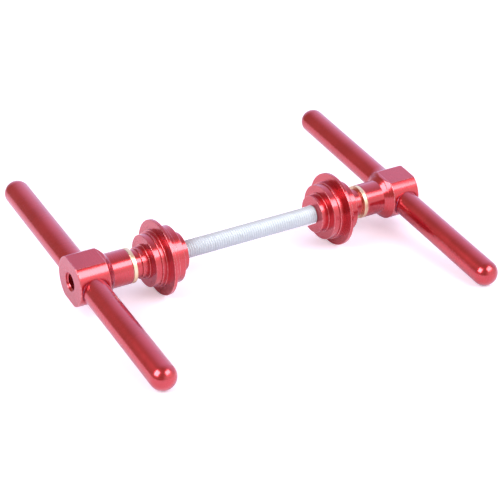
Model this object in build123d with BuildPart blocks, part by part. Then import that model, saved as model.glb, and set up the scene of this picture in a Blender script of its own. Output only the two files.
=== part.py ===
from build123d import *
from math import asin, cos, degrees, radians, sin, sqrt
import os

# Bearing press: two T-handles on one threaded rod squeeze two stepped drifts together.
# Millimetres. X is the press axis, +Z is up, and the origin is the middle of the rod.
# The press lies at rest on the flanges of its drifts and on one end of each handle.

# threaded rod, M14 x 2
ROD_RADIUS = 6.95
ROD_LENGTH = 260.0
ROD_CHAMFER = 1.5

# handle hub: a round boss with two flats, a slightly crowned shoulder at 45 degrees and a long neck
HUB_BORE_RADIUS = 7.0
HUB_RADIUS = 19.1
HUB_HALF_FLATS = 16.8
HUB_OUTER_X = 148.9
HUB_INNER_X = 125.2
SHOULDER_END_X = 119.4
SHOULDER_CROWN = 0.1
NECK_RADIUS = 13.3
NECK_END_X = 103.6
HUB_CHAMFER = 0.7
HUB_EDGE_RADIUS = 0.7
COUNTERSINK = 0.5

# handle bars, each screwed into one side of a hub
BAR_RADIUS = 10.0
BAR_X = 137.2
BAR_BALL_CENTRE = 118.8
BAR_SEAT = 15.0
BAR_CHAMFER = 0.5
SPIGOT_RADIUS = 6.0
SPIGOT_END = 9.0
SPIGOT_HOLE_END = 8.6
BAR_FIT = 0.05

# brass thrust washer
WASHER_BORE_RADIUS = 7.2
WASHER_RADIUS = 13.3
WASHER_THICKNESS = 3.1
WASHER_CHAMFER = 0.35
FACE_GAP = 0.05

# drift bands from the face near the middle of the rod to the washer: (length, radius)
PILOT_LENGTH = 5.3
PILOT_RADIUS = 14.95
FLANGE_RADIUS = 29.0
DRIFT_BANDS = [
    (PILOT_LENGTH, PILOT_RADIUS),
    (1.3, 15.9),
    (5.2, 21.95),
    (5.3, 22.95),
    (2.6, FLANGE_RADIUS),
    (2.4, 21.95),
    (3.0, 20.95),
    (4.8, 19.95),
    (1.7, 13.2),
    (4.8, 11.95),
    (4.95, 10.95),
]
DRIFT_CHAMFER = 0.35
SLOT_HALF_WIDTH = 7.5
SLOT_ANGLE = -32.8

# the flange and the near end of each bar touch the same level surface
TILT = asin((FLANGE_RADIUS - BAR_RADIUS) / BAR_BALL_CENTRE)
FAR = Vector(0, cos(TILT), sin(TILT))
HANDLE_UP = Vector(0, -sin(TILT), cos(TILT))
BARS = {"near": -FAR, "far": FAR}
SIDES = {"left": -1, "right": 1}

WASHER_OUTER_X = NECK_END_X - FACE_GAP
WASHER_INNER_X = WASHER_OUTER_X - WASHER_THICKNESS
DRIFT_OUTER_X = WASHER_INNER_X - FACE_GAP
DRIFT_LENGTH = sum(length for length, radius in DRIFT_BANDS)
DRIFT_INNER_X = DRIFT_OUTER_X - DRIFT_LENGTH


def side_plane(side):
    """Sketch plane through the press axis whose first axis points outwards on this side."""
    return Plane(origin=(0, 0, 0), x_dir=(side, 0, 0), z_dir=(0, -side, 0))


def drift_outline():
    """Corner points of the drift's half section, with every outward corner chamfered."""
    points = [(DRIFT_INNER_X, 0)]
    x = DRIFT_INNER_X
    below = 0.0
    for index, (length, radius) in enumerate(DRIFT_BANDS):
        last = index == len(DRIFT_BANDS) - 1
        above = 0.0 if last else DRIFT_BANDS[index + 1][1]
        if radius > below:
            points += [(x, radius - DRIFT_CHAMFER), (x + DRIFT_CHAMFER, radius)]
        else:
            points += [(x, radius)]
        x += length
        if radius > above:
            points += [(x - DRIFT_CHAMFER, radius), (x, radius - DRIFT_CHAMFER)]
        else:
            points += [(x, radius)]
        below = radius
    return points + [(DRIFT_OUTER_X, 0)]


def make_rod():
    """Plain envelope of the threaded rod at its major diameter."""
    with BuildPart() as rod:
        with BuildSketch(Plane.YZ.offset(-ROD_LENGTH / 2)):
            Circle(ROD_RADIUS)
        extrude(amount=ROD_LENGTH)
        chamfer(rod.edges().filter_by(GeomType.CIRCLE), ROD_CHAMFER)
    return rod


def make_hub(side):
    """Turned hub with two flats, a countersunk bore for the rod and a seat for each bar."""
    shoulder_start = Vector(SHOULDER_END_X, NECK_RADIUS)
    shoulder_end = Vector(HUB_INNER_X, HUB_RADIUS)
    outward = (shoulder_end - shoulder_start).normalized().rotate(Axis.Z, 90)
    edge_corner = Vector(HUB_OUTER_X, HUB_RADIUS)
    edge_middle = edge_corner - Vector(1, 1) * HUB_EDGE_RADIUS * (1 - sqrt(0.5))
    with BuildPart() as hub:
        with BuildSketch(side_plane(side)):
            with BuildLine():
                Polyline(
                    (SHOULDER_END_X, NECK_RADIUS),
                    (NECK_END_X + HUB_CHAMFER, NECK_RADIUS),
                    (NECK_END_X, NECK_RADIUS - HUB_CHAMFER),
                    (NECK_END_X, HUB_BORE_RADIUS),
                    (HUB_OUTER_X - COUNTERSINK, HUB_BORE_RADIUS),
                    (HUB_OUTER_X, HUB_BORE_RADIUS + COUNTERSINK),
                    (HUB_OUTER_X, HUB_RADIUS - HUB_EDGE_RADIUS),
                )
                ThreePointArc(
                    (HUB_OUTER_X, HUB_RADIUS - HUB_EDGE_RADIUS),
                    edge_middle,
                    (HUB_OUTER_X - HUB_EDGE_RADIUS, HUB_RADIUS),
                )
                Line((HUB_OUTER_X - HUB_EDGE_RADIUS, HUB_RADIUS), (HUB_INNER_X, HUB_RADIUS))
                middle = (shoulder_start + shoulder_end) / 2 + outward * SHOULDER_CROWN
                ThreePointArc(shoulder_start, middle, shoulder_end)
            make_face()
        revolve(axis=Axis.X)
        for up in (HANDLE_UP, -HANDLE_UP):
            flat = Plane(origin=Vector(side * BAR_X, 0, 0) + up * HUB_HALF_FLATS, x_dir=(1, 0, 0), z_dir=up)
            with BuildSketch(flat):
                Rectangle(2 * HUB_RADIUS, 2 * HUB_RADIUS)
            extrude(amount=HUB_RADIUS, mode=Mode.SUBTRACT)
        for direction in BARS.values():
            centre = Vector(side * BAR_X, 0, 0)
            for depth, radius in ((BAR_SEAT, BAR_RADIUS), (SPIGOT_HOLE_END, SPIGOT_RADIUS)):
                with BuildSketch(Plane(origin=centre + direction * depth, x_dir=(1, 0, 0), z_dir=direction)):
                    Circle(radius + BAR_FIT)
                extrude(amount=HUB_RADIUS, mode=Mode.SUBTRACT)
    return hub


def make_bar(side, direction):
    """Half handle: a threaded spigot, a shoulder, a round bar and a ball end."""
    centre = Vector(side * BAR_X, 0, 0)
    with BuildPart() as bar:
        with BuildSketch(Plane(origin=centre, x_dir=direction, z_dir=(1, 0, 0))):
            with BuildLine():
                Polyline(
                    (BAR_BALL_CENTRE + BAR_RADIUS, 0),
                    (SPIGOT_END, 0),
                    (SPIGOT_END, SPIGOT_RADIUS - BAR_CHAMFER),
                    (SPIGOT_END + BAR_CHAMFER, SPIGOT_RADIUS),
                    (BAR_SEAT, SPIGOT_RADIUS),
                    (BAR_SEAT, BAR_RADIUS),
                    (BAR_BALL_CENTRE, BAR_RADIUS),
                )
                middle = BAR_RADIUS * sqrt(0.5)
                ThreePointArc(
                    (BAR_BALL_CENTRE, BAR_RADIUS),
                    (BAR_BALL_CENTRE + middle, middle),
                    (BAR_BALL_CENTRE + BAR_RADIUS, 0),
                )
            make_face()
        revolve(axis=Axis(centre, direction))
    return bar


def make_washer(side):
    """Brass thrust washer between the turning neck and the drift."""
    with BuildPart() as washer:
        with BuildSketch(side_plane(side)):
            with BuildLine():
                Polyline(
                    (WASHER_INNER_X, WASHER_BORE_RADIUS),
                    (WASHER_INNER_X, WASHER_RADIUS - WASHER_CHAMFER),
                    (WASHER_INNER_X + WASHER_CHAMFER, WASHER_RADIUS),
                    (WASHER_OUTER_X - WASHER_CHAMFER, WASHER_RADIUS),
                    (WASHER_OUTER_X, WASHER_RADIUS - WASHER_CHAMFER),
                    (WASHER_OUTER_X, WASHER_BORE_RADIUS),
                    close=True,
                )
            make_face()
        revolve(axis=Axis.X)
    return washer


def make_drift(side):
    """Double-ended stepped drift with a slot that lets it slip over the rod from the side."""
    angle = radians(SLOT_ANGLE)
    mouth = Vector(0, cos(angle), sin(angle))
    with BuildPart() as drift:
        with BuildSketch(side_plane(side)):
            with BuildLine():
                Polyline(*drift_outline(), close=True)
            make_face()
        revolve(axis=Axis.X)
        with BuildSketch(Plane(origin=(side * DRIFT_OUTER_X, 0, 0), x_dir=mouth, z_dir=(-side, 0, 0))):
            Circle(SLOT_HALF_WIDTH)
            with Locations((FLANGE_RADIUS, 0)):
                Rectangle(2 * FLANGE_RADIUS, 2 * SLOT_HALF_WIDTH)
        extrude(amount=DRIFT_LENGTH, mode=Mode.SUBTRACT)
    return drift


def save(piece, name):
    """Label a finished piece and write it."""
    piece.part.label = name
    export_step(piece.part, f"parts/{name}.step")


os.makedirs("parts", exist_ok=True)
save(make_rod(), "screw_rod")
for side_name, side in SIDES.items():
    save(make_hub(side), f"{side_name}_hub")
    save(make_washer(side), f"{side_name}_thrust_washer")
    save(make_drift(side), f"{side_name}_drift")
    for bar_name, direction in BARS.items():
        save(make_bar(side, direction), f"{side_name}_bar_{bar_name}")
print(f"handle tilt {degrees(TILT):.2f} degrees, drift from {DRIFT_INNER_X:.2f} to {DRIFT_OUTER_X:.2f} mm")
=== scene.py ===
import math

import bmesh
import bpy
from mathutils import Matrix, Vector


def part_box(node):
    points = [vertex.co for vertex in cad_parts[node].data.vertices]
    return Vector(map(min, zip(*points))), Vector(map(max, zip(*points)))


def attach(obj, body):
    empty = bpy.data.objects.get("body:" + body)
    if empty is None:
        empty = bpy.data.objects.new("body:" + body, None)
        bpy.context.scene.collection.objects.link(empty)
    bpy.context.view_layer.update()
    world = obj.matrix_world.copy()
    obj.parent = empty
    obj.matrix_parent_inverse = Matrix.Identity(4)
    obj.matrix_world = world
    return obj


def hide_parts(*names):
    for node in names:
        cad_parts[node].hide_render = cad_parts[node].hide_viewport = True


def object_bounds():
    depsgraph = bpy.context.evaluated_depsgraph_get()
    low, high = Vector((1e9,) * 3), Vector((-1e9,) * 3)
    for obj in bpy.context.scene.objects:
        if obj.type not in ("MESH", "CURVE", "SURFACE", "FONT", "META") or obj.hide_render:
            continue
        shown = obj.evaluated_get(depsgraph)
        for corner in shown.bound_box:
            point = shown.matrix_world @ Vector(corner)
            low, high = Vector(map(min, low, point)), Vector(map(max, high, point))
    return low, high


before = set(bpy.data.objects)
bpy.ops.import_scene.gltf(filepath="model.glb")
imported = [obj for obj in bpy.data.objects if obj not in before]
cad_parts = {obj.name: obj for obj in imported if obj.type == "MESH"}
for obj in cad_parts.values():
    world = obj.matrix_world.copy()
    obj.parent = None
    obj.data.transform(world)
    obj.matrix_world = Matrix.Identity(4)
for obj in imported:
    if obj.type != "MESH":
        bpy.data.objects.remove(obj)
cad_low, cad_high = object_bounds()

# ---------------------------------------------------------------------------------------------
# Sizes, in metres. X is the press axis, and SIDES gives each half's direction along it.
# ---------------------------------------------------------------------------------------------
MM = 0.001
SIDES = {"left": -1, "right": 1}

THREAD_PITCH = 2.0 * MM
ROD_RADIUS = 6.95 * MM
ROD_ROOT_RADIUS = 5.72 * MM
ROD_HALF_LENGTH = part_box("screw_rod")[1].x
ROD_END_RADIUS = 5.45 * MM

# the rod thread's outline from a root to the next crest: (share of the pitch, share of the depth)
THREAD_RISE = [(0.07, 1.0), (0.14, 0.93), (0.42, 0.06), (0.46, 0.0)]

HUB_BORE_RADIUS = 7.0 * MM
HUB_THREAD_RADIUS = 5.95 * MM
RIDGE_BASE_HALF = 0.44 * THREAD_PITCH
RIDGE_TIP_HALF = 0.10 * THREAD_PITCH
RIDGE_SINK = 0.05 * MM
HUB_RADIUS = 19.1 * MM
HUB_HALF_FLATS = 16.8 * MM
HUB_OUTER_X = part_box("right_hub")[1].x
HUB_INNER_X = 125.2 * MM
SHOULDER_END_X = 119.4 * MM
SHOULDER_CROWN = 0.1 * MM
NECK_RADIUS = 13.3 * MM
NECK_END_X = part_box("right_hub")[0].x
HUB_EDGE = 0.7 * MM
COUNTERSINK = 0.5 * MM
FLAT_EDGE = 0.4 * MM
# how far the edge mark reaches, which is painted paler as wear and as an edge highlight
WEAR_AND_HIGHLIGHT_REACH = 0.25 * MM

BAR_RADIUS = 10.0 * MM
BAR_X = 137.2 * MM
BAR_BALL_CENTRE = 118.8 * MM
BAR_SEAT = 15.0 * MM
SPIGOT_RADIUS = 6.0 * MM
SPIGOT_END = 9.0 * MM
SPIGOT_HOLE_END = 8.6 * MM
BAR_FIT = 0.05 * MM
BAR_EDGE = 0.4 * MM

WASHER_BORE_RADIUS = 7.2 * MM
WASHER_RADIUS = 13.3 * MM
WASHER_EDGE = 0.3 * MM
WASHER_INNER_X, WASHER_OUTER_X = (corner.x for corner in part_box("right_thrust_washer"))

# drift bands from the face near the middle of the rod to the washer: (length, radius)
DRIFT_BANDS = [
    (5.3, 14.95),
    (1.3, 15.9),
    (5.2, 21.95),
    (5.3, 22.95),
    (2.6, 29.0),
    (2.4, 21.95),
    (3.0, 20.95),
    (4.8, 19.95),
    (1.7, 13.2),
    (4.8, 11.95),
    (4.95, 10.95),
]
DRIFT_INNER_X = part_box("right_drift")[0].x
DRIFT_OUTER_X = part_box("right_drift")[1].x
DRIFT_EDGE = 0.35 * MM
FLANGE_RADIUS = 29.0 * MM
SLOT_HALF_WIDTH = 7.5 * MM
SLOT_ANGLE = math.radians(-32.8)
SLOT_EDGE = 0.2 * MM

TILT = math.asin((FLANGE_RADIUS - BAR_RADIUS) / BAR_BALL_CENTRE)
FAR = Vector((0, math.cos(TILT), math.sin(TILT)))
HANDLE_UP = Vector((0, -math.sin(TILT), math.cos(TILT)))
BARS = {"near": -FAR, "far": FAR}
X_AXIS = Vector((1, 0, 0))

# fineness of the meshes
MERGE_DISTANCE = 1e-7
SHARP_ANGLE = math.radians(32)
STRAIGHT_SINE = 0.01  # an outline that turns by less than this isn't rounded
TURN_STEPS = 48
BAR_SEGMENTS = 128
BALL_STEPS = 24
WASHER_SEGMENTS = 144
SHOULDER_STEPS = 16
SHOULDER_LEAD = 2 * MM
SHOULDER_GAP = 0.1 * MM
HUB_EDGE_STEPS = 4
FLAT_STEPS = 8
EDGE_STEPS = 3
SIDE_STEPS = 56
EDGE_SPREAD = 0.05
SLOT_QUARTER_STEPS = 36


# ---------------------------------------------------------------------------------------------
# Mesh tools
# ---------------------------------------------------------------------------------------------
class Turned:
    """Collects a mesh and each vertex's place on the lathe: distance along, radius and edge mark."""

    def __init__(self):
        self.points = []
        self.marks = []
        self.faces = []

    def add(self, point, along, radius, edge=0.0):
        self.points.append(tuple(point))
        self.marks.append((along, radius, edge))
        return len(self.points) - 1

    def strip(self, first, second, closed=False):
        """Quads between two equally long rows of vertices."""
        count = len(first)
        for i in range(count if closed else count - 1):
            j = (i + 1) % count
            self.faces.append((first[i], first[j], second[j], second[i]))

    def make_object(self, name):
        """A tidy object of the collected mesh, with its marks in the attribute "lathe"."""
        mesh = bpy.data.meshes.new(name)
        mesh.from_pydata(self.points, [], self.faces)
        lathe = mesh.attributes.new("lathe", "FLOAT_VECTOR", "POINT")
        lathe.data.foreach_set("vector", [value for mark in self.marks for value in mark])
        tidy_mesh(mesh)
        return link(name, mesh)

    def build(self, name, body, material):
        """The object as a piece of the press that moves with the body."""
        piece = self.make_object(name)
        piece.data.materials.append(material)
        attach(piece, body)
        return piece


def link(name, data):
    """A new object in the scene that shows the data."""
    made = bpy.data.objects.new(name, data)
    bpy.context.scene.collection.objects.link(made)
    return made


def tidy_mesh(mesh):
    """Merges doubles, drops collapsed faces, points every face outwards and marks sharp edges."""
    bm = bmesh.new()
    bm.from_mesh(mesh)
    bmesh.ops.remove_doubles(bm, verts=bm.verts, dist=MERGE_DISTANCE)
    bmesh.ops.dissolve_degenerate(bm, edges=bm.edges, dist=MERGE_DISTANCE)
    bmesh.ops.recalc_face_normals(bm, faces=bm.faces)
    for face in bm.faces:
        face.smooth = True
    bm.to_mesh(mesh)
    bm.free()
    mesh.set_sharp_from_angle(angle=SHARP_ANGLE)


def rounded(corners, radius, steps=3):
    """The outline through corners, with an arc of that radius on each outward corner.

    A corner is (x, r), or (x, r, False) to keep it sharp. Gives (x, r, edge mark) for each point."""
    outline = []
    for i, corner in enumerate(corners):
        point = Vector(corner[:2])
        keep = len(corner) > 2 or i in (0, len(corners) - 1)
        if not keep:
            before = (point - Vector(corners[i - 1][:2])).normalized()
            after = (Vector(corners[i + 1][:2]) - point).normalized()
            keep = before.x * after.y - before.y * after.x > -STRAIGHT_SINE
        if keep:
            outline.append((point.x, point.y, 0.0))
            continue
        turn = before.angle(after)
        trim = radius * math.tan(turn / 2)
        centre = point - before * trim + Vector((before.y, -before.x)) * radius
        start = (point - before * trim) - centre
        for step in range(steps + 1):
            angle = -turn * step / steps
            spoke = Matrix.Rotation(angle, 2) @ start
            spot = centre + spoke
            outline.append((spot.x, spot.y, 1.0))
    return guarded(outline)


def guarded(outline):
    """Adds a plain station close to each marked one, so that the mark stays near its edge."""
    kept = outline[:1]
    for before, after in zip(outline, outline[1:]):
        step = Vector(after[:2]) - Vector(before[:2])
        if step.length > 3 * WEAR_AND_HIGHLIGHT_REACH:
            if before[2] > 0:
                kept.append((*(Vector(before[:2]) + step.normalized() * WEAR_AND_HIGHLIGHT_REACH), 0.0))
            if after[2] > 0:
                kept.append((*(Vector(after[:2]) - step.normalized() * WEAR_AND_HIGHLIGHT_REACH), 0.0))
        kept.append(after)
    return kept


def lathe(turned, outline, place, segments, closed_outline=False):
    """Turns an outline of (along, radius, edge) about an axis.

    place(along, radius, angle) gives the point in space."""
    rings = []
    for along, radius, edge in outline:
        if radius < MERGE_DISTANCE:
            rings.append([turned.add(place(along, 0, 0), along, 0, edge)] * segments)
            continue
        rings.append([
            turned.add(place(along, radius, 2 * math.pi * k / segments), along, radius, edge)
            for k in range(segments)
        ])
    for first, second in zip(rings, rings[1:]):
        for k in range(segments):
            j = (k + 1) % segments
            corners = dict.fromkeys((first[k], first[j], second[j], second[k]))
            turned.faces.append(tuple(corners))
    if closed_outline:
        turned.strip(rings[-1], rings[0], closed=True)


def about_x(side):
    """Placement for pieces turned about the press axis."""
    def place(along, radius, angle):
        return Vector((side * along, radius * math.cos(angle), radius * math.sin(angle)))

    return place


def about_bar(side, direction):
    """Placement for pieces turned about a handle bar's axis."""
    across = X_AXIS.cross(direction)

    def place(along, radius, angle):
        spoke = X_AXIS * math.cos(angle) + across * math.sin(angle)
        return X_AXIS * side * BAR_X + direction * along + spoke * radius

    return place


# ---------------------------------------------------------------------------------------------
# Materials
# ---------------------------------------------------------------------------------------------
class Nodes:
    """A short way to write the node tree of a material or world."""

    def __init__(self, owner, shader):
        owner.use_nodes = True
        self.tree = owner.node_tree
        self.shader = self.tree.nodes[shader]

    def plug(self, socket, value):
        """Links the socket to another one, or gives it a fixed value."""
        if isinstance(value, bpy.types.NodeSocket):
            self.tree.links.new(value, socket)
        else:
            socket.default_value = value

    def node(self, kind, inputs=None):
        """A new node, whose inputs are given by their name or number."""
        made = self.tree.nodes.new(kind)
        for key, value in (inputs or {}).items():
            self.plug(made.inputs[key], value)
        return made

    def shade(self, **values):
        """Sets the shader's inputs. An underscore stands for the space in an input's name."""
        for name, value in values.items():
            self.plug(self.shader.inputs[name.replace("_", " ")], value)

    def math(self, operation, *values):
        made = self.node("ShaderNodeMath", dict(enumerate(values)))
        made.operation = operation
        return made.outputs[0]

    def blend(self, factor, low, high):
        """Colour from low to high as factor goes from 0 to 1."""
        made = self.tree.nodes.new("ShaderNodeMix")
        made.data_type = "RGBA"
        for index, value in ((0, factor), (6, low), (7, high)):
            self.plug(made.inputs[index], value)
        return made.outputs[2]

    def span(self, value, from_low, from_high, to_low, to_high):
        """value, with one range mapped to another and clamped."""
        ranges = (value, from_low, from_high, to_low, to_high)
        return self.node("ShaderNodeMapRange", dict(enumerate(ranges))).outputs[0]

    def noise(self, vector, scale, detail=3.0, rough=0.5):
        inputs = {"Vector": vector, "Scale": scale, "Detail": detail, "Roughness": rough}
        return self.node("ShaderNodeTexNoise", inputs).outputs["Fac"]

    def place(self):
        return self.node("ShaderNodeTexCoord").outputs["Object"]

    def lathe(self):
        """Distance along the lathe, radius and edge mark of the surface, as three numbers."""
        mark = self.node("ShaderNodeAttribute")
        mark.attribute_name = "lathe"
        split = self.node("ShaderNodeSeparateXYZ", {"Vector": mark.outputs["Vector"]})
        return split.outputs[0], split.outputs[1], split.outputs[2]

    def grooves(self, along, radius, spacing):
        """Fine turning marks: noise that changes only along the lathe's outline."""
        row = self.node("ShaderNodeCombineXYZ", {"X": along, "Y": radius, "Z": 0.0})
        return self.noise(row.outputs[0], 1 / spacing, 2.0, 0.6)

    def bump(self, height, distance):
        made = self.node("ShaderNodeBump", {"Strength": 1.0, "Distance": distance, "Height": height})
        self.shade(Normal=made.outputs["Normal"])


def new_material(name):
    """An empty material and the helper that writes its nodes."""
    material = bpy.data.materials.new(name)
    return material, Nodes(material, "Principled BSDF")


def red_anodised():
    """Glossy dyed aluminium with faint turning marks, and edges painted a little paler as rubbed wear and
    as a painted edge highlight.
    """
    material, n = new_material("red_anodised_metal")
    along, radius, edge = n.lathe()
    clouds = n.noise(n.place(), 45.0)
    specks = n.noise(n.place(), 900.0, 2.0)
    grooves = n.grooves(along, radius, 0.5 * MM)
    dye = n.blend(n.span(clouds, 0.35, 0.65, 0.0, 1.0), (0.55, 0.020, 0.030, 1), (0.62, 0.028, 0.040, 1))
    # edges painted paler: partly rubbed wear, partly a painted highlight along the edge
    wear_and_edge_highlight = n.math("MULTIPLY", edge, n.span(specks, 0.45, 0.62, 0.25, 1.0))
    haze = n.span(clouds, 0.3, 0.7, 0.25, 0.28)
    n.shade(
        Base_Color=n.blend(n.math("MULTIPLY", wear_and_edge_highlight, 0.4), dye, (0.95, 0.50, 0.50, 1)),
        Metallic=1.0,
        Roughness=n.math("ADD", haze, n.span(grooves, 0.3, 0.7, 0.0, 0.02)),
        Coat_Weight=0.9,
        Coat_Roughness=0.16,
        Coat_IOR=1.8,
        Sheen_Weight=0.30,
        Sheen_Roughness=0.35,
        Sheen_Tint=(0.80, 0.55, 1.0, 1),
    )
    n.bump(grooves, 0.0005 * MM)
    return material


def pale_brass():
    """Turned brass, slightly mottled, with edges painted paler as wear and as a painted edge highlight."""
    material, n = new_material("pale_brass")
    along, radius, edge = n.lathe()
    clouds = n.noise(n.place(), 160.0, 4.0)
    grooves = n.grooves(along, radius, 0.25 * MM)
    tint = n.blend(n.span(clouds, 0.35, 0.7, 0.0, 1.0), (0.97, 0.85, 0.58, 1), (0.90, 0.74, 0.45, 1))
    n.shade(
        # edges painted paler: partly wear, partly a painted highlight along the edge
        Base_Color=n.blend(n.math("MULTIPLY", edge, 0.5), tint, (1.0, 0.92, 0.66, 1)),
        Metallic=1.0,
        Roughness=n.span(grooves, 0.3, 0.7, 0.24, 0.36),
    )
    n.bump(grooves, 0.01 * MM)
    return material


def zinc_plate():
    """Bluish zinc on a rolled thread: bright crests, with painted shade making the flanks duller and the
    roots grey.
    """
    material, n = new_material("zinc_plate_steel")
    radius = n.lathe()[1]
    clouds = n.noise(n.place(), 130.0, 5.0, 0.6)
    specks = n.noise(n.place(), 1500.0, 3.0, 0.7)
    depth = n.span(radius, ROD_ROOT_RADIUS, ROD_RADIUS, 1.0, 0.0)
    bright = n.blend(n.span(clouds, 0.35, 0.65, 0.0, 1.0), (0.68, 0.77, 0.78, 1), (0.74, 0.83, 0.84, 1))
    # the colour used in the thread's roots is painted shade
    painted_root_shade = n.blend(n.span(specks, 0.4, 0.6, 0.0, 1.0), (0.60, 0.68, 0.71, 1), (0.67, 0.75, 0.78, 1))
    haze = n.span(specks, 0.3, 0.7, 0.46, 0.58)
    n.shade(
        # painted shade: the colour darkens from the crests into the roots
        Base_Color=n.blend(n.math("MULTIPLY", depth, 0.75), bright, painted_root_shade),
        Metallic=0.6,
        Roughness=n.math("ADD", haze, n.math("MULTIPLY", depth, 0.1)),
    )
    n.bump(specks, 0.012 * MM)
    return material


RED = red_anodised()
BRASS = pale_brass()
ZINC = zinc_plate()


# ---------------------------------------------------------------------------------------------
# Threads. A right-hand helix: at angle a the crest lies at x = pitch * (a / turn + whole number).
# ---------------------------------------------------------------------------------------------
def make_rod():
    """The threaded rod: one seamless helical surface, cut off at both ends by a chamfer and a flat."""
    turned = Turned()
    outline = THREAD_RISE + [(1 - share, down) for share, down in reversed(THREAD_RISE)]
    depth = ROD_RADIUS - ROD_ROOT_RADIUS
    first = -math.ceil(ROD_HALF_LENGTH / THREAD_PITCH) - 1
    columns = []
    for step in range(-2 * first * TURN_STEPS + 1):
        angle = 2 * math.pi * step / TURN_STEPS
        base = THREAD_PITCH * (first + step / TURN_STEPS)
        row = []
        for share, down in outline:
            x = base + THREAD_PITCH * (share - 0.5)
            x = max(-ROD_HALF_LENGTH, min(ROD_HALF_LENGTH, x))
            limit = ROD_END_RADIUS + (ROD_HALF_LENGTH - abs(x))
            radius = min(ROD_RADIUS - depth * down, limit)
            point = (x, radius * math.cos(angle), radius * math.sin(angle))
            row.append(turned.add(point, x, radius))
        columns.append(row)
    for step in range(len(columns) - 1):
        turned.strip(columns[step], columns[step + 1])
        ahead = step + TURN_STEPS
        if ahead + 1 < len(columns):
            end_of_pitch = [columns[step][-1], columns[step + 1][-1]]
            start_of_next = [columns[ahead][0], columns[ahead + 1][0]]
            turned.strip(end_of_pitch, start_of_next)
    for x in (-ROD_HALF_LENGTH, ROD_HALF_LENGTH):
        ring = []
        for k in range(TURN_STEPS):
            angle = 2 * math.pi * k / TURN_STEPS
            point = (x, ROD_END_RADIUS * math.cos(angle), ROD_END_RADIUS * math.sin(angle))
            ring.append(turned.add(point, x, ROD_END_RADIUS))
        centre = turned.add((x, 0, 0), x, 0)
        for k in range(TURN_STEPS):
            turned.faces.append((ring[k], ring[(k + 1) % TURN_STEPS], centre))
    piece = turned.build("screw_rod_threaded", "rod", ZINC)
    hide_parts("screw_rod")


def make_hub_thread(name, side):
    """The ridge of the hub's inner thread. It lies in the rod's groove, half a pitch from its crest."""
    turned = Turned()
    outer = HUB_BORE_RADIUS + RIDGE_SINK
    low, high = sorted((side * NECK_END_X, side * (HUB_OUTER_X - COUNTERSINK)))
    first = math.floor(low / THREAD_PITCH) - 1
    last = math.ceil(high / THREAD_PITCH) + 1
    rows = []
    for step in range((last - first) * TURN_STEPS + 1):
        angle = 2 * math.pi * step / TURN_STEPS
        middle = THREAD_PITCH * (first + 0.5 + step / TURN_STEPS)
        row = []
        for offset in (-RIDGE_BASE_HALF, -RIDGE_TIP_HALF, RIDGE_TIP_HALF, RIDGE_BASE_HALF):
            x = max(low, min(high, middle + offset))
            flank = (abs(x - middle) - RIDGE_TIP_HALF) / (RIDGE_BASE_HALF - RIDGE_TIP_HALF)
            radius = HUB_THREAD_RADIUS + (outer - HUB_THREAD_RADIUS) * max(0.0, min(1.0, flank))
            radius = max(radius, outer - (HUB_OUTER_X - COUNTERSINK - abs(x)))
            row.append(turned.add((x, radius * math.cos(angle), radius * math.sin(angle)), x, radius))
        rows.append(row)
    rows = [
        row for row in rows
        if max(turned.points[i][0] for i in row) > low + MERGE_DISTANCE
        and min(turned.points[i][0] for i in row) < high - MERGE_DISTANCE
    ]
    for row, ahead in zip(rows, rows[1:]):
        turned.strip(row, ahead, closed=True)
    turned.faces.append(tuple(rows[0]))
    turned.faces.append(tuple(rows[-1]))
    turned.build(f"{name}_hub_thread", f"{name}_handle", RED)


# ---------------------------------------------------------------------------------------------
# Turned pieces
# ---------------------------------------------------------------------------------------------
def make_washer(name, side):
    corners = [
        (WASHER_INNER_X, WASHER_BORE_RADIUS),
        (WASHER_INNER_X, WASHER_RADIUS),
        (WASHER_OUTER_X, WASHER_RADIUS),
        (WASHER_OUTER_X, WASHER_BORE_RADIUS),
    ]
    turned = Turned()
    lathe(turned, rounded(corners, WASHER_EDGE), about_x(side), WASHER_SEGMENTS, closed_outline=True)
    piece = turned.build(f"{name}_washer_turned", f"{name}_washer", BRASS)
    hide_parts(f"{name}_thrust_washer")


def make_bar(name, side, end, direction):
    """A round bar with a ball end and a spigot, turned about its own axis."""
    corners = [
        (SPIGOT_END, 0),
        (SPIGOT_END, SPIGOT_RADIUS),
        (BAR_SEAT, SPIGOT_RADIUS, False),
        (BAR_SEAT, BAR_RADIUS),
        (BAR_BALL_CENTRE, BAR_RADIUS, False),
    ]
    outline = [(along, radius, 0.0) for along, radius, edge in rounded(corners, BAR_EDGE)]
    for step in range(1, BALL_STEPS + 1):
        angle = 0.5 * math.pi * step / BALL_STEPS
        outline.append((BAR_BALL_CENTRE + BAR_RADIUS * math.sin(angle), BAR_RADIUS * math.cos(angle), 0.0))
    turned = Turned()
    lathe(turned, outline, about_bar(side, direction), BAR_SEGMENTS)
    piece = turned.build(f"{name}_bar_{end}_turned", f"{name}_handle", RED)
    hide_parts(f"{name}_bar_{end}")


def drift_corners():
    """The drift's stepped outline, from the face near the middle of the rod to the washer."""
    corners = []
    x = DRIFT_INNER_X
    for length, radius in DRIFT_BANDS:
        corners += [(x, radius * MM), (x + length * MM, radius * MM)]
        x += length * MM
    inner_start = (DRIFT_INNER_X, corners[0][1] - 2 * DRIFT_EDGE)
    inner_end = (DRIFT_OUTER_X, corners[-1][1] - 2 * DRIFT_EDGE)
    return [inner_start] + corners + [inner_end]


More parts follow.
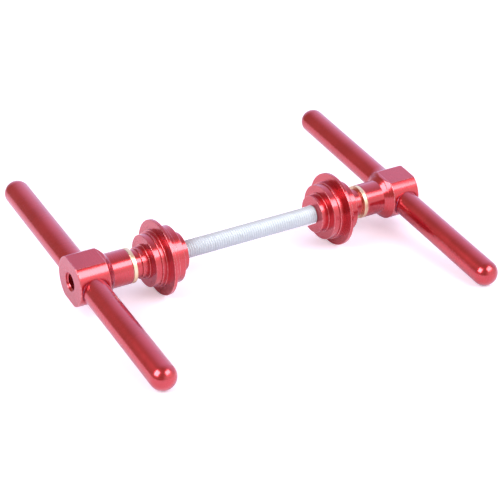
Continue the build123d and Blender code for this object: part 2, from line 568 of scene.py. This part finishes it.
def make_drift(name, side):
    """The stepped drift with its slot: turned bands, two slot walls, half a bore and two end faces."""
    mouth = Vector((0, math.cos(SLOT_ANGLE), math.sin(SLOT_ANGLE)))
    across = Vector((0, -math.sin(SLOT_ANGLE), math.cos(SLOT_ANGLE)))
    outline = rounded(drift_corners(), DRIFT_EDGE)
    turned = Turned()

    def point(x, u, v):
        return X_AXIS * side * x + mouth * u + across * v

    quarter, half = SLOT_QUARTER_STEPS, 2 * SLOT_QUARTER_STEPS
    bands = []
    for x, radius, edge in outline:
        start = math.asin((SLOT_HALF_WIDTH + SLOT_EDGE) / radius)
        angles = [start + (math.pi / 2 - start) * k / quarter for k in range(quarter)]
        angles += [math.pi / 2 + math.pi * k / half for k in range(half)]
        angles += [3 * math.pi / 2 + (math.pi / 2 - start) * k / quarter for k in range(quarter + 1)]
        last = len(angles) - 1
        bands.append([
            turned.add(point(x, radius * math.cos(a), radius * math.sin(a)), x, radius,
                       1.0 if k in (0, last) else edge)
            for k, a in enumerate(angles)
        ])
    for first, second in zip(bands, bands[1:]):
        turned.strip(first, second)

    # the end faces: each outer point has an inner point at the same angle, on the slot's edge or the bore
    inner_rings = []
    for index in (0, -1):
        x, radius, edge = outline[index]
        ring = []
        for k in range(len(bands[0])):
            spot = Vector(turned.points[bands[index][k]])
            u, v = spot.dot(mouth), spot.dot(across)
            if u > 0:
                v_inner = math.copysign(SLOT_HALF_WIDTH, v)
                u_inner = u * v_inner / v
                if k in (0, len(bands[0]) - 1):
                    u_inner = math.sqrt(radius ** 2 - SLOT_HALF_WIDTH ** 2) - SLOT_EDGE
            else:
                scale = SLOT_HALF_WIDTH / math.hypot(u, v)
                u_inner, v_inner = u * scale, v * scale
            ring.append(turned.add(point(x, u_inner, v_inner), x, SLOT_HALF_WIDTH))
        turned.strip(bands[index], ring)
        inner_rings.append(ring)

    # the bore's far half
    turned.strip(inner_rings[0][quarter:quarter + half + 1], inner_rings[1][quarter:quarter + half + 1])

    # the slot's walls, with a narrow bevel up to the turned bands
    for sign, column in ((1, 0), (-1, len(bands[0]) - 1)):
        wall = []
        for x, radius, edge in outline:
            u = math.sqrt(radius ** 2 - SLOT_HALF_WIDTH ** 2) - SLOT_EDGE
            wall.append(turned.add(point(x, u, sign * SLOT_HALF_WIDTH), x, radius))
        turned.strip([row[column] for row in bands], wall)
        if sign > 0:
            starts, ends = inner_rings[0][:quarter + 1], inner_rings[1][:quarter + 1]
        else:
            starts = inner_rings[0][quarter + half:][::-1]
            ends = inner_rings[1][quarter + half:][::-1]
        turned.faces.append(tuple(wall + ends[1:] + starts[:0:-1]))
    piece = turned.build(f"{name}_drift_turned", f"{name}_drift", RED)
    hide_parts(f"{name}_drift")


# ---------------------------------------------------------------------------------------------
# Hub: turned outline, two flats with rounded edges, then pockets for the bars
# ---------------------------------------------------------------------------------------------
def hub_outline():
    """Stations (x, radius, edge) of the hub's outside, from the neck's face to the outer face."""
    chord = Vector((HUB_INNER_X - SHOULDER_END_X, HUB_RADIUS - NECK_RADIUS))
    outward = Vector((-chord.y, chord.x)).normalized()
    shoulder = []
    for step in range(1, SHOULDER_STEPS):
        share = step / SHOULDER_STEPS
        crown = outward * SHOULDER_CROWN * 4 * share * (1 - share)
        spot = Vector((SHOULDER_END_X, NECK_RADIUS)) + chord * share + crown
        shoulder.append((spot.x, spot.y, 0.0))
    neck_corners = [
        (NECK_END_X, NECK_RADIUS - 2 * HUB_EDGE),
        (NECK_END_X, NECK_RADIUS),
        (SHOULDER_END_X, NECK_RADIUS),
    ]
    boss_corners = [
        (HUB_INNER_X - SHOULDER_LEAD, HUB_RADIUS - SHOULDER_LEAD),
        (HUB_INNER_X, HUB_RADIUS),
        (HUB_OUTER_X, HUB_RADIUS),
        (HUB_OUTER_X, HUB_RADIUS - 3 * HUB_EDGE),
    ]
    neck = rounded(neck_corners, HUB_EDGE, HUB_EDGE_STEPS)
    boss = rounded(boss_corners, HUB_EDGE, HUB_EDGE_STEPS)[1:]
    shoulder = [station for station in shoulder if station[0] < boss[0][0] - SHOULDER_GAP]
    return neck + shoulder + boss


def hub_section(radius):
    """Half a section of the hub, from the middle of one flat to the middle of the other.

    Gives (angle from the flat's normal, distance from the axis, edge mark) for each point."""
    corner = math.acos(HUB_HALF_FLATS / HUB_RADIUS)
    half = []
    if radius <= HUB_HALF_FLATS:
        # round: the flat's and the edge's columns keep their number, and spread out as the radius falls
        spread = corner * min(1.0, (HUB_HALF_FLATS - radius) / FLAT_EDGE)
        lean = spread * (1 + EDGE_SPREAD * EDGE_STEPS)
        half += [(spread * k / FLAT_STEPS, radius, 0.0) for k in range(FLAT_STEPS)]
        half += [(spread * (1 + EDGE_SPREAD * k), radius, 0.0) for k in range(EDGE_STEPS)]
    else:
        edge = min(FLAT_EDGE, 0.5 * (radius - HUB_HALF_FLATS))
        drop = HUB_HALF_FLATS - edge
        aside = math.sqrt((radius - edge) ** 2 - drop ** 2)
        lean = math.atan2(aside, drop)
        for k in range(FLAT_STEPS):
            shift = max(aside - WEAR_AND_HIGHLIGHT_REACH, 0.5 * aside) * k / (FLAT_STEPS - 1)
            half.append((math.atan2(shift, HUB_HALF_FLATS), math.hypot(shift, HUB_HALF_FLATS), 0.0))
        for k in range(EDGE_STEPS):
            turn = lean * k / EDGE_STEPS
            a, b = aside + edge * math.sin(turn), drop + edge * math.cos(turn)
            half.append((math.atan2(a, b), math.hypot(a, b), 1.0))
    # the round side's first column carries the edge mark, painted paler as wear and as a highlight
    wear_and_highlight_mark = 1.0 if radius > HUB_HALF_FLATS else 0.0
    for k in range(SIDE_STEPS + 1):
        half.append((lean + (math.pi / 2 - lean) * k / SIDE_STEPS, radius, wear_and_highlight_mark if k == 0 else 0.0))
    return half + [(math.pi - angle, distance, edge) for angle, distance, edge in half[-2::-1]]


def make_cutter(side, direction):
    """The stepped pocket that a bar's spigot and shoulder sit in."""
    depth = HUB_RADIUS + 5 * MM
    outline = [
        (SPIGOT_HOLE_END, 0, 0.0),
        (SPIGOT_HOLE_END, SPIGOT_RADIUS + BAR_FIT, 0.0),
        (BAR_SEAT, SPIGOT_RADIUS + BAR_FIT, 0.0),
        (BAR_SEAT, BAR_RADIUS + BAR_FIT, 0.0),
        (depth, BAR_RADIUS + BAR_FIT, 0.0),
        (depth, 0, 0.0),
    ]
    turned = Turned()
    lathe(turned, outline, about_bar(side, direction), BAR_SEGMENTS)
    return turned.make_object("cutter")


def apply_modifiers(piece):
    """Turns the piece's modifiers into plain mesh."""
    graph = bpy.context.evaluated_depsgraph_get()
    finished = piece.evaluated_get(graph)
    mesh = bpy.data.meshes.new_from_object(finished, preserve_all_data_layers=True, depsgraph=graph)
    piece.modifiers.clear()
    piece.data = mesh


def make_hub(name, side):
    """The outside with its flats, then the end faces and the countersunk bore, then the pockets."""
    turned = Turned()
    rings = []
    for x, radius, edge in hub_outline():
        half = hub_section(radius)
        whole = half[:-1] + [(2 * math.pi - a, d, e) for a, d, e in half[:0:-1]]
        rings.append([
            turned.add(
                X_AXIS * side * x + HANDLE_UP * d * math.cos(a) + FAR * d * math.sin(a),
                x, max(d, radius), max(edge, e),
            )
            for a, d, e in whole
        ])
    inside = [
        (NECK_END_X, HUB_BORE_RADIUS),
        (HUB_OUTER_X - COUNTERSINK, HUB_BORE_RADIUS),
        (HUB_OUTER_X, HUB_BORE_RADIUS + COUNTERSINK),
    ]
    around = [Vector(turned.points[i]) for i in rings[0]]
    spokes = [Vector((0, spot.y, spot.z)).normalized() for spot in around]
    bore = [
        [turned.add(X_AXIS * side * x + spoke * radius, x, radius) for spoke in spokes]
        for x, radius in inside
    ]
    for loops in (rings, [rings[0]] + bore + [rings[-1]]):
        for first, second in zip(loops, loops[1:]):
            turned.strip(first, second, closed=True)
    piece = turned.build(f"{name}_hub_machined", f"{name}_handle", RED)
    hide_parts(f"{name}_hub")
    cut_pockets(piece, side)


def cut_pockets(piece, side):
    """Cuts the two bars' pockets out of the hub and evens out its shading.

    Known fault: the boolean turns the right hub inside out, so its far pocket is filled, not cut."""
    cutters = [make_cutter(side, direction) for direction in BARS.values()]
    for cutter in cutters:
        cut = piece.modifiers.new("pocket", "BOOLEAN")
        cut.operation = "DIFFERENCE"
        cut.solver = "EXACT"
        cut.object = cutter
    even = piece.modifiers.new("even_normals", "WEIGHTED_NORMAL")
    even.keep_sharp = True
    bpy.context.view_layer.update()
    apply_modifiers(piece)
    for cutter in cutters:
        bpy.data.objects.remove(cutter)


# ---------------------------------------------------------------------------------------------
# The press
# ---------------------------------------------------------------------------------------------
make_rod()
for side_name, side_sign in SIDES.items():
    make_hub(side_name, side_sign)
    make_hub_thread(side_name, side_sign)
    make_washer(side_name, side_sign)
    make_drift(side_name, side_sign)
    for end_name, bar_direction in BARS.items():
        make_bar(side_name, side_sign, end_name, bar_direction)


# ---------------------------------------------------------------------------------------------
# Floor, light and camera. Directions are an azimuth and an elevation in degrees.
# ---------------------------------------------------------------------------------------------
CAMERA_AZIMUTH, CAMERA_ELEVATION = -31.32, 28.07
CAMERA_TARGET = (-2.9 * MM, -9.1 * MM, -10.8 * MM)
CAMERA_DISTANCE = 1.1
LENS, SENSOR_WIDTH = 103.8, 36.0

FLOOR_REACH, FLOOR_STEPS = 14.0, 48
FLOOR_GAP = 0.02 * MM
FLOOR_LIFT = 0.4
SOFTBOX_DISTANCE = 1.3
# (name, azimuth, elevation, width, height, power, colour)
SOFTBOXES = [
    ("softbox_left", -84, 38, 0.8, 0.8, 12, (0.95, 0.98, 1.12)),
    ("softbox_front", 28, 44, 0.9, 0.6, 8.5, (0.97, 0.99, 1.08)),
]
ROOM_COLOUR = (0.50, 0.31, 0.26)
# (towards, cosine where the patch starts, cosine where it is full, colour)
ROOM_PATCHES = [
    ((0.75, 0.60, 0.28), 0.25, 1.05, (0.95, 0.95, 1.40)),
    ((0.50, -0.85, 0.05), 0.50, 0.95, (1.15, 1.05, 1.10)),
]


def direction_of(azimuth, elevation):
    """Unit vector from the press. Azimuth 0 is -Y and 90 is +X."""
    a, e = math.radians(azimuth), math.radians(elevation)
    return Vector((math.sin(a) * math.cos(e), -math.cos(a) * math.cos(e), math.sin(e)))


def make_floor():
    """A pale sheet. Towards the camera it is a little brighter, so that it reads as plain white."""
    material, n = new_material("pale_floor")
    grain = n.noise(n.place(), 12.0, 4.0)
    seen = n.node("ShaderNodeLightPath").outputs["Is Camera Ray"]
    n.shade(
        Base_Color=n.blend(grain, (0.86, 0.845, 0.90, 1), (0.90, 0.885, 0.94, 1)),
        Roughness=0.9,
        Specular_IOR_Level=0.1,
        Emission_Color=(0.97, 0.93, 1.0, 1),
        Emission_Strength=n.math("MULTIPLY", seen, FLOOR_LIFT),
    )
    level = cad_low.z - FLOOR_GAP
    turns = [2 * math.pi * k / FLOOR_STEPS for k in range(FLOOR_STEPS)]
    ring = [(FLOOR_REACH * math.cos(turn), FLOOR_REACH * math.sin(turn), level) for turn in turns]
    mesh = bpy.data.meshes.new("floor")
    mesh.from_pydata(ring, [], [tuple(range(FLOOR_STEPS))])
    mesh.materials.append(material)
    link("floor", mesh)


def make_softbox(name, azimuth, elevation, width, height, power, colour):
    """A rectangular lamp that faces the middle of the press."""
    light = bpy.data.lights.new(name, "AREA")
    light.shape = "RECTANGLE"
    light.size, light.size_y = width, height
    light.energy = power
    light.color = colour
    lamp = link(name, light)
    towards = direction_of(azimuth, elevation)
    lamp.location = towards * SOFTBOX_DISTANCE
    lamp.rotation_mode = "QUATERNION"
    lamp.rotation_quaternion = towards.to_track_quat("Z", "Y")


def make_world():
    """A dim room with a pale backdrop behind to the right, and a pale wall in front to the right."""
    world = bpy.data.worlds.new("studio")
    n = Nodes(world, "Background")
    where = n.node("ShaderNodeTexCoord").outputs["Generated"]
    colour = (*ROOM_COLOUR, 1)
    for towards, start, full, patch in ROOM_PATCHES:
        facing = n.node("ShaderNodeVectorMath", {0: where, 1: Vector(towards).normalized()})
        facing.operation = "DOT_PRODUCT"
        spread = n.node("ShaderNodeMapRange", {0: facing.outputs["Value"], 1: start, 2: full})
        spread.interpolation_type = "SMOOTHSTEP"
        colour = n.blend(spread.outputs[0], colour, (*patch, 1))
    n.shade(Color=colour, Strength=1.0)
    bpy.context.scene.world = world


def make_camera():
    data = bpy.data.cameras.new("camera")
    data.sensor_width = SENSOR_WIDTH
    data.lens = LENS
    camera = link("camera", data)
    back = direction_of(CAMERA_AZIMUTH, CAMERA_ELEVATION)
    camera.location = Vector(CAMERA_TARGET) + back * CAMERA_DISTANCE
    camera.rotation_mode = "QUATERNION"
    camera.rotation_quaternion = (-back).to_track_quat("-Z", "Y")
    bpy.context.scene.camera = camera


make_floor()
make_world()
for softbox in SOFTBOXES:
    make_softbox(*softbox)
make_camera()
bpy.context.scene.view_settings.view_transform = "Standard"
bpy.context.scene.view_settings.look = "None"
